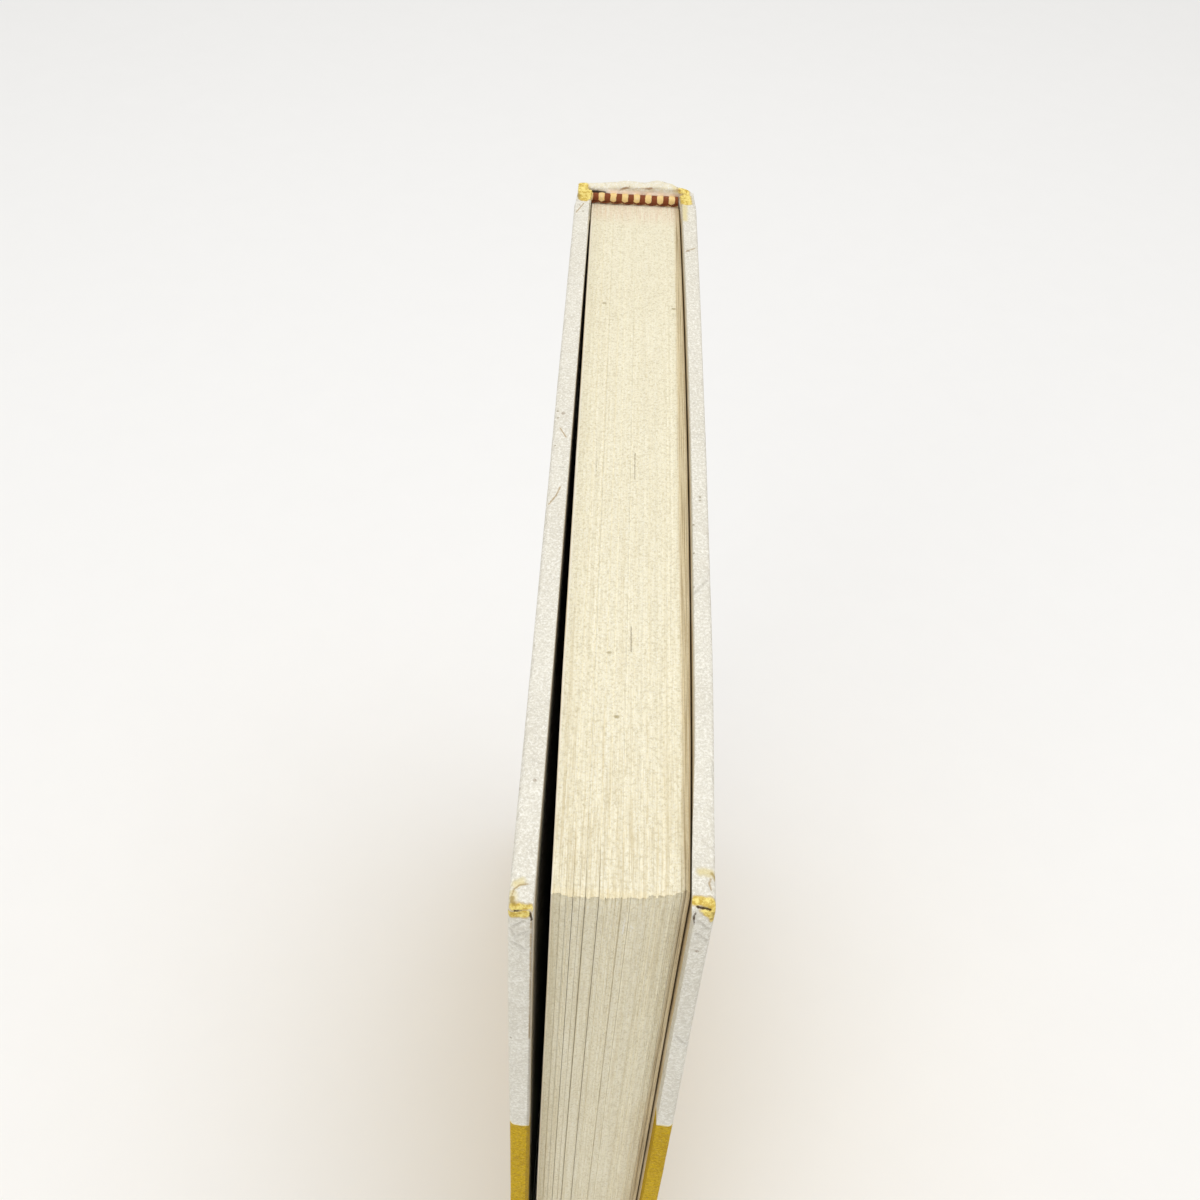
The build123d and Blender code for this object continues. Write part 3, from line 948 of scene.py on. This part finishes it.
def build_covering(side, material):
    """The covering as one closed sheet round the board, turned in at the head, fore-edge and tail."""
    along, outward, start, end, thickness = cover_sizes(side)
    place = hinge_place[side]
    wall = BOARD_WRAP
    lip, inner_lip = EDGE_ROUND, 0.15 * MM
    face_rows = 8
    rows = [(inset * MM, thickness, 0.0) for inset in (9.0, 5.0, 2.6)]
    rows.append((1.3 * MM, thickness, 0.5))
    rows += [(lip * (1 - s), thickness - lip * (1 - c), 1.0) for s, c in arc(5)]
    for step in range(1, face_rows):
        rows.append((0.0, thickness - lip + (lip + inner_lip - thickness) * step / face_rows, 1.0))
    rows += [(inner_lip * (1 - c), inner_lip * (1 - s), 1.0) for s, c in arc(5)]
    rows += [(inset * MM, 0.0, 0.5) for inset in (1.3, 2.4, 3.6, 7.0)]
    rows += [(TURN_IN, 0.0, 0.0), (TURN_IN, wall, 0.0)]
    rows += [(wall + lip, wall, 0.0), (wall, wall + 0.3 * MM, 0.0)]
    rows += [(wall, thickness - wall - 0.3 * MM, 0.0), (wall + 0.3 * MM, thickness - wall, 0.0)]
    rows += [(9.0 * MM, thickness - wall, 0.0)]
    paths = cover_paths()
    count = len(rounded_outline(start, end, (0, 0, 0), CORNER_ROUND, paths))
    grid = [[None] * len(rows) for _ in range(count)]
    for row, (inset, height, worn) in enumerate(rows):
        joint_inset = inset if height > thickness / 2 else min(inset, wall)
        radius = max(CORNER_ROUND - inset, 0.0)
        outline = rounded_outline(start, end, (joint_inset, inset, inset), radius, paths)
        for column, (u, z) in enumerate(outline):
            proud = edge_relief(side, u, height, z) * worn if worn else 0.0
            v = height + (0.25 * proud if height > thickness / 2 else -0.25 * proud)
            if worn and inset < lip:
                rest = place + along * u + outward * v + Vector((0, 0, z))
                grow = (proud + worn_relief(bowed(rest, cover=True), side)) * (1 - inset / lip)
                toward_end = smooth((u - end + 1.6 * MM) / (1.2 * MM))
                toward_head = smooth((z - head_z + 1.6 * MM) / (1.2 * MM))
                toward_tail = smooth((1.6 * MM - z) / (1.2 * MM))
                u += grow * toward_end
                z = max(z + grow * (toward_head - toward_tail), 0.0)
            point = place + along * u + outward * v + Vector((0, 0, z))
            grid[column][row] = bowed(point, cover=True)
    points = [point for column in grid for point in column]
    faces = ring_faces(count, len(rows), closed_columns=True)
    faces.append(tuple(column * len(rows) for column in range(count)))
    faces.append(tuple(column * len(rows) + len(rows) - 1 for column in range(count)))
    name = COVERS[side]
    piece = make_piece(
        name + "_cover_paper", points, faces, material, name + "_cover", "printed_covering", sharp=50
    )
    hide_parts(name + "_covering")


# Spine


def spine_lines():
    """Outer and inner line of the spine's wall, from one groove round to the other.

    The outer line comes three times: as it is along the open groove, as it is at the folds of the
    head and tail, where the groove is filled, and as it is at the very head, where the back corner
    is knocked round. Places are from the middle of the pages and from the line of their back.
    """
    low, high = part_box("spine_covering")
    half = (high.x - low.x) / 2
    back = high.y - hinge_y
    shoulder_y = back - 0.9 * MM
    inner_y = 1.2 * MM
    inner_half = 11.0 * MM
    grooved, filled, headed, inner_line = [], [], [], []

    def quarter(round_off, at_groove):
        flat = [
            (GROOVE + 0.12 * MM, -SEAM), (GROOVE + 0.45 * MM, 0.0), (GROOVE + 1.2 * MM, 0.6 * MM),
            (GROOVE + 2.0 * MM, 1.15 * MM), (half - 0.04 * MM, 1.6 * MM),
        ] if at_groove else [
            (half, -SEAM), (half, 0.0), (half, 0.3 * MM), (half, 0.6 * MM), (half, 0.9 * MM),
        ]
        return flat + [(
            half - round_off * (1 - c),
            max(shoulder_y + 0.12 * MM - round_off * (1 - s), flat[-1][1]),
        ) for s, c in arc(8)]

    inner_quarter = [
        (INNER_WALL, -SEAM), (INNER_WALL, 0.2 * MM), (9.8 * MM, 0.7 * MM), (10.3 * MM, 1.1 * MM),
        (10.7 * MM, inner_y),
    ]
    inner_quarter += [
        (inner_half - 0.075 * MM * step, inner_y + 0.0125 * MM * step) for step in range(9)
    ]
    arc_steps = 72
    for side in (FRONT, BACK):
        lines = [
            [(side * x, y) for x, y in line] for line in (
                quarter(0.8 * MM, True), quarter(0.8 * MM, False),
                quarter(3.0 * MM if side == BACK else 0.5 * MM, False), inner_quarter,
            )
        ]
        if side == BACK:
            for step in range(1, arc_steps):
                t = -1 + 2 * step / arc_steps
                for line, reach in ((grooved, 0.8), (filled, 0.8), (headed, 3.0 if t > 0 else 0.5)):
                    bulge = shoulder_y + 0.12 * MM + (back - shoulder_y - 0.12 * MM) * (1 - t * t)
                    line.append(((half - reach * MM) * t, bulge))
                inner_line.append((
                    (inner_half - 0.6 * MM) * t, inner_y + 0.1 * MM + 0.8 * MM * (1 - t * t)
                ))
            lines = [line[::-1] for line in lines]
        for line, part in zip((grooved, filled, headed, inner_line), lines):
            line.extend(part)
    return grooved, filled, headed, inner_line


def fold_share(z):
    """1 at the tail and the head, where the joint's groove is filled, and 0 along the groove."""
    depth = min(z, head_z - z)
    return smooth((8.0 * MM - depth) / (5.5 * MM))


def spine_heights():
    """Heights of the rows up the spine and the joints, close together near the head and the tail."""
    ends = [0.8, 1.4, 2.2, 3.0, 4.0, 5.0, 6.0, 7.0, 8.0, 10.0, 14.0, 20.0, 30.0]
    low = [height * MM for height in ends]
    high = [head_z - height for height in reversed(low)]
    middle = [low[-1] + (high[0] - low[-1]) * step / 16 for step in range(1, 16)]
    return low + middle + high


def rim_height(place):
    """How far the worn rim of the spine's head stands above the covers' head, in millimetres."""
    heights = (
        (-12, 0.0), (-8.7, -0.1), (-5, 0.25), (-2.5, 0.75), (1.6, 0.5), (5.2, 1.4), (8.7, 0.95),
        (11, 0.3), (12.5, 0.0),
    )
    if place <= heights[0][0]:
        return heights[0][1]
    for (low, first), (high, second) in zip(heights, heights[1:]):
        if place < high:
            return first + (second - first) * smooth((place - low) / (high - low))
    return heights[-1][1]


def build_spine(material):
    """The spine's wall, turned in over its stiffening strip at the head and the tail."""
    grooved, filled, headed, inner_line = spine_lines()
    heights = spine_heights()
    rim_steps = 10
    rim_round = 0.55 * MM
    loops = []
    for open_place, filled_place, head_place, inner in zip(grooved, filled, headed, inner_line):
        place = filled_place[0] / MM
        middle = smooth((10 - abs(place)) / 3)
        height = rim_height(place)
        wave = (height + wobble(place * 0.9, seed=22) * 0.10) * 0.6 * MM
        push = 0.45 * max(height, 0.0) * MM
        sag = 0.45 * smooth((4 - place) / 8) + 0.2 + wobble(place * 0.6, seed=24) * 0.3
        outer_rows = []
        for z in heights:
            knocked = smooth((z - head_z + 9 * MM) / (6 * MM))
            x, y = blended(open_place, filled_place, fold_share(z))
            x += (head_place[0] - filled_place[0]) * knocked
            y += (head_place[1] - filled_place[1]) * knocked
            bump = wobble(place * 0.5, z / MM * 0.3, seed=31) * 0.12 * MM * knocked
            lifted = smooth(1 - (head_z - z) / (7 * MM))
            outer_rows.append((x, y + bump + push * lifted, z + wave * lifted))
        head_rim, tail_rim = [], []
        for s, c in arc(rim_steps, pi):
            share = (1 - c) / 2
            x, y = blended((head_place[0], head_place[1] + push), inner, share)
            y -= (0.2 + 0.15 * sag) * MM * share * middle
            z = head_z - rim_round + rim_round * s + wave - 0.25 * MM * share
            head_rim.append((x, y, z))
            tail_rim.append((*blended(filled_place, inner, share), rim_round - rim_round * s))
        inner_rows = []
        for z in reversed(heights):
            depth = (z - head_z) / MM
            lean = smooth((depth + 7) / 3.5) * (1 - 0.7 * smooth((depth + 2.6) / 2.0))
            lean *= (0.75 + 0.4 * sag) * middle
            inner_rows.append((inner[0], inner[1] - lean * MM, z))
        loop = outer_rows + head_rim + inner_rows + tail_rim[::-1]
        loops.append([bowed((middle_x + x, hinge_y + y, z)) for x, y, z in loop])
    piece = make_bar("spine_paper", loops, material, "pages", "printed_covering", sharp=60)
    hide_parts("spine_covering")


def build_joint(side, material):
    """The covering across the joint: a groove along the cover, filled by folds at both ends."""
    _, _, start, _, thickness = cover_sizes(side)
    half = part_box("spine_covering")[1].x - middle_x
    steps = 10
    hinge_x = abs(hinge_place[side].x - middle_x)
    reach = start + 0.06 * MM
    near_ends = [0.0, 0.15 * MM, 0.4 * MM]
    heights = near_ends + spine_heights() + [head_z - height for height in reversed(near_ends)]
    loops = []
    for z in heights:
        share = fold_share(z)
        ease = max(0.0, 1 - min(z, head_z - z) / (0.55 * MM))
        inset = 0.35 * MM * ease * ease
        loop = []
        for step in range(steps + 1):
            t = step / steps
            filled_x = half + (hinge_x + thickness - 0.1 * MM - half) * t
            grooved_x = GROOVE + 0.12 * MM * (1 - t) ** 4
            x = grooved_x + (filled_x - grooved_x) * share
            loop.append((x - inset, -SEAM - (reach - SEAM) * t))
        for step in range(steps, -1, -1):
            t = step / steps
            loop.append((INNER_WALL + inset * 0.6, -SEAM - (reach - SEAM) * t))
        snug = 0.3 * MM * smooth((z - head_z + 3.2 * MM) / (1.5 * MM))
        near_head = smooth((z - head_z + 3 * MM) / (3 * MM))
        points = []
        for number, (x, y) in enumerate(loop):
            if number > steps:
                x -= snug * (number - steps - 1) / steps
            dent = wobble(x / MM * 0.5, y / MM * 0.6, seed=side + 40) * 0.15 * MM * near_head
            points.append(bowed((middle_x + side * x, hinge_y + y, z + dent)))
        loops.append(points)
    name = COVERS[side]
    piece = make_bar(name + "_joint_paper", loops, material, None, "printed_covering", sharp=50)
    hinge_y - start
    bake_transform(piece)


def build_hinge_paper(side, material):
    """The endpaper's fold, which joins the flyleaf to the paper on the cover's inner side."""
    leaf_low, leaf_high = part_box(COVERS[side] + "_flyleaf")
    paste_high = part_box(COVERS[side] + "_pastedown")[1]
    leaf_x = (leaf_low.x + leaf_high.x) / 2
    place = hinge_place[side]
    thickness = 0.12 * MM
    paste_x = place.x - side * 0.14 * MM
    line = [(leaf_x, hinge_y - 0.6 * MM), (leaf_x, hinge_y - 0.25 * MM)]
    for s, c in arc(7, pi, closed=False)[1:]:
        share = (1 - c) / 2
        line.append((leaf_x + (paste_x - leaf_x) * share, hinge_y - 0.25 * MM + 0.15 * MM * s))
    reach = hinge_y - 0.25 * MM - (paste_high.y - 0.8 * MM)
    line += [(paste_x, hinge_y - 0.25 * MM - reach * step / 12) for step in range(13)]
    around = line + [(x - side * thickness, y) for x, y in line[::-1]]
    count = 24
    low, height = leaf_low.z + 0.4 * MM, leaf_high.z - leaf_low.z - 0.8 * MM
    loops = [
        [bowed((x, y, low + height * level / count)) for x, y in around] for level in range(count + 1)
    ]
    name = COVERS[side]
    piece = make_bar(name + "_endpaper_fold", loops, material, None, "end_paper", sharp=50)
    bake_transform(piece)


# Headbands


def tube(line, radius, around):
    """Loops of a tube round a row of places, each with its share of the radius."""
    ring = arc(around, tau, closed=False)
    return [
        [bowed(place + Vector((0, c, s)) * (radius * share)) for s, c in ring] for place, share in line
    ]


def build_band(node, thread, cord, stitch_count):
    """A bead of stitches that swell in turn, and the scalloped cord along its foot."""
    low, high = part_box(node)
    upward = 1 if node == "head_band" else -1
    radius = 0.97 * MM
    foot = pages_high.z if upward > 0 else pages_low.z
    centre = Vector((0, high.y + 0.2 * MM, foot + upward * (radius + 0.1 * MM)))
    overhang = 0.25 * MM
    per_stitch = 14
    columns = stitch_count * per_stitch + 1
    stitch = (high.x - low.x) / stitch_count
    line, cord_line = [], []
    for column in range(columns):
        x = low.x - overhang + (high.x - low.x + overhang) * column / (columns - 1)
        phase = (x - low.x) / stitch + 2
        swell = abs(sin(pi * phase)) ** 0.5
        lobe = int(phase) % 2
        share = 0.86 + (0.14 if lobe else 0.05) * swell
        askew = 0.013 * (x - middle_x) + wobble(phase * 0.7, seed=50) * 0.05 * MM
        line.append((centre + Vector((x, askew, 0)), share))
        scallop = abs(sin(pi * (phase + 1) / 2))
        cord_place = Vector((
            x, centre.y + askew - radius * 0.72, centre.z - upward * (0.50 + 0.32 * scallop) * radius
        ))
        cord_line.append((cord_place, 0.75 + 0.25 * abs(sin(pi * phase * 2))))
    bead = make_bar(node + "_stitches", tube(line, radius, 32), thread, "pages", "band_thread")
    make_bar(node + "_cord", tube(cord_line, 0.2 * MM, 12), cord, "pages", "band_thread")
    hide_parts(node)


def build_skirt(node, material):
    """The headband's skirt: a strip of its cloth glued to the back of the sections."""
    low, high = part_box(node)
    thickness = 0.3 * MM
    columns, rows = 24, 14
    base, top = (low.z, high.z - 1.2 * MM) if node == "head_band" else (low.z + 1.2 * MM, high.z)
    heights = [base + (top - base) * row / (rows - 1) for row in range(rows)]
    around = [(high.y, z) for z in heights] + [(high.y - thickness, z) for z in reversed(heights)]
    loops = []
    for column in range(columns):
        x = low.x + (high.x - low.x) * column / (columns - 1)
        loops.append([bowed((x, y, z)) for y, z in around])
    make_bar(node + "_skirt", loops, material, "pages", "band_thread", smooth_shaded=False)


# The stage, the lamps and the camera


def build_stage():
    """A plain pale floor."""
    made = Finish("pale_floor", roughness=0.9, specular=0.1)
    point = made.node("ShaderNodeTexCoord", output="Object")
    grain = made.noise(point, 60.0, 3.0, 0.6)
    made.feed("Base Color", made.mix(grain * 0.3, srgb(244, 243, 241), srgb(236, 235, 233)))
    mesh = bpy.data.meshes.new("floor")
    half = 3.0
    corners = [(-half, -half, 0), (half, -half, 0), (half, half, 0), (-half, half, 0)]
    mesh.from_pydata(corners, [], [(0, 1, 2, 3)])
    mesh.materials.append(made.material)
    floor = placed("floor", mesh)


def build_lights():
    """Soft studio light: a pale world, a large lamp overhead and a weaker one in front."""
    world = bpy.data.worlds.new("studio")
    bpy.context.scene.world = world
    world.use_nodes = True
    background = world.node_tree.nodes["Background"].inputs
    background["Color"].default_value = (1.0, 1.0, 1.0, 1.0)
    background["Strength"].default_value = 0.62
    for name, place, size, power in (
        ("overhead_lamp", (0.1, 0.05, 1.6), 1.2, 12.0),
        ("front_lamp", (-0.5, -1.2, 0.9), 0.9, 3.9),
    ):
        data = bpy.data.lights.new(name, "AREA")
        data.size = size
        data.energy = power
        lamp = placed(name, data)
        lamp.location = place
        aim = Vector((0.0, 0.0, 0.15)) - Vector(place)
        lamp.rotation_euler = aim.to_track_quat("-Z", "Y").to_euler()


def build_camera():
    """The camera, turned by its yaw, pitch and roll in radians."""
    data = bpy.data.cameras.new("camera")
    data.lens = CAMERA_LENS
    data.sensor_width = 36.0
    data.clip_start = 0.01
    data.clip_end = 20.0
    camera = placed("camera", data)
    forward = Vector((
        sin(CAMERA_YAW) * cos(CAMERA_PITCH), cos(CAMERA_YAW) * cos(CAMERA_PITCH), -sin(CAMERA_PITCH)
    ))
    right = Vector((cos(CAMERA_YAW), -sin(CAMERA_YAW), 0.0))
    up = right.cross(forward)
    turned_right = right * cos(CAMERA_ROLL) + up * sin(CAMERA_ROLL)
    turned_up = up * cos(CAMERA_ROLL) - right * sin(CAMERA_ROLL)
    turn = Matrix((turned_right, turned_up, -forward)).transposed()
    camera.matrix_world = Matrix.Translation(CAMERA_PLACE) @ turn.to_4x4()
    bpy.context.scene.camera = camera


# Materials and pieces

stitch_total = 15
band_low, band_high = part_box("head_band")
stitch_size = (band_high.x - band_low.x) / stitch_total / MM
page_paper = page_finish()
end_paper, back_end_paper, lining_paper = (
    sheet_finish(name, *(srgb(*tint) for tint in tints), grain) for name, tints, grain in (
        ("end_paper", ((238, 233, 220), (226, 218, 200), (206, 188, 150)), 1.8),
        ("back_end_paper", ((230, 217, 188), (214, 198, 160), (182, 158, 114)), 1.8),
        ("lining_paper", ((186, 152, 108), (166, 130, 86), (150, 122, 78)), 2.5),
    )
)
grey_board = board_finish()
mull_cloth = weave_finish("mull_cloth", 1.2, srgb(236, 229, 208), srgb(196, 182, 148))
band_thread = stitch_finish(band_low.x / MM, stitch_size)
brown_thread = cord_finish()
skirt_cloth = weave_finish("skirt_cloth", 0.5, srgb(236, 212, 164), srgb(198, 160, 108))
covering = {part: covering_finish(part) for part in WEAR}

build_pages(page_paper)
for side in (FRONT, BACK):
    build_covering(side, covering[COVERS[side] + "_cover"])
    build_joint(side, covering["spine"])
    build_hinge_paper(side, end_paper if side == FRONT else back_end_paper)
build_spine(covering["spine"])
for node in ("head_band", "tail_band"):
    build_band(node, band_thread, brown_thread, stitch_total)
    build_skirt(node, skirt_cloth)
for node, material, body, slot in (
    ("front_flyleaf", end_paper, "pages", "end_paper"),
    ("back_flyleaf", back_end_paper, "pages", "end_paper"),
    ("front_pastedown", end_paper, "front_cover", "end_paper"),
    ("back_pastedown", back_end_paper, "back_cover", "end_paper"),
    ("front_mull_flap", mull_cloth, "front_cover", "mull_cloth"),
    ("back_mull_flap", mull_cloth, "back_cover", "mull_cloth"),
    ("front_board", grey_board, "front_cover", "grey_board"),
    ("back_board", grey_board, "back_cover", "grey_board"),
    ("spine_mull", mull_cloth, "pages", "mull_cloth"),
    ("spine_lining", lining_paper, "pages", "lining_paper"),
    ("spine_strip", grey_board, "pages", "grey_board"),
):
    bent_copy(node, material, body)

build_stage()
build_lights()
build_camera()

view = bpy.context.scene.view_settings
view.view_transform = "Standard"
